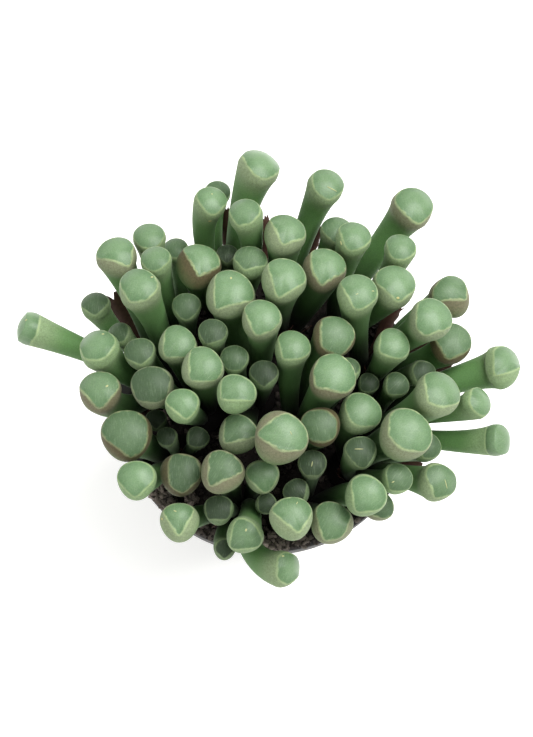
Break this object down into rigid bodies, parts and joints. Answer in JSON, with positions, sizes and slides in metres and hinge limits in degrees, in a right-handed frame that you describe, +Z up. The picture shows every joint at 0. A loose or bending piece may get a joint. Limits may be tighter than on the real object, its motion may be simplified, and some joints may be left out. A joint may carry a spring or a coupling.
{
  "type": "potted succulent",
  "caption": "Potted baby toes: a dense clump of upright club-shaped succulent leaves with clear domed window tips, rooted in gritty mix in a plain nursery pot.",
  "frame": {"origin": "on the pot's axis at the middle of its underside, on the surface that it stands on", "axes": "+Z up; -Y towards the front, the side that the picture is taken from; +X to the picture's right"},
  "size_m": [0.1208, 0.1034, 0.1083],
  "materials": {
    "leaf_flesh": "satin green leaf flesh, clear pale windows at the tips",
    "moulded_plastic": "plain dark moulded nursery-pot plastic, satin",
    "gritty_mix": "damp dark gritty potting mix, rough"
  },
  "bodies": {
    "root": {"head_01": "leaf_flesh", "head_02": "leaf_flesh", "head_03": "leaf_flesh", "head_04": "leaf_flesh", "head_05": "leaf_flesh", "head_06": "leaf_flesh", "head_07": "leaf_flesh", "head_08": "leaf_flesh", "head_09": "leaf_flesh", "head_10": "leaf_flesh", "head_11": "leaf_flesh", "head_12": "leaf_flesh", "head_13": "leaf_flesh", "head_14": "leaf_flesh", "pot": "moulded_plastic", "soil": "gritty_mix"}
  },
  "joints": []
}
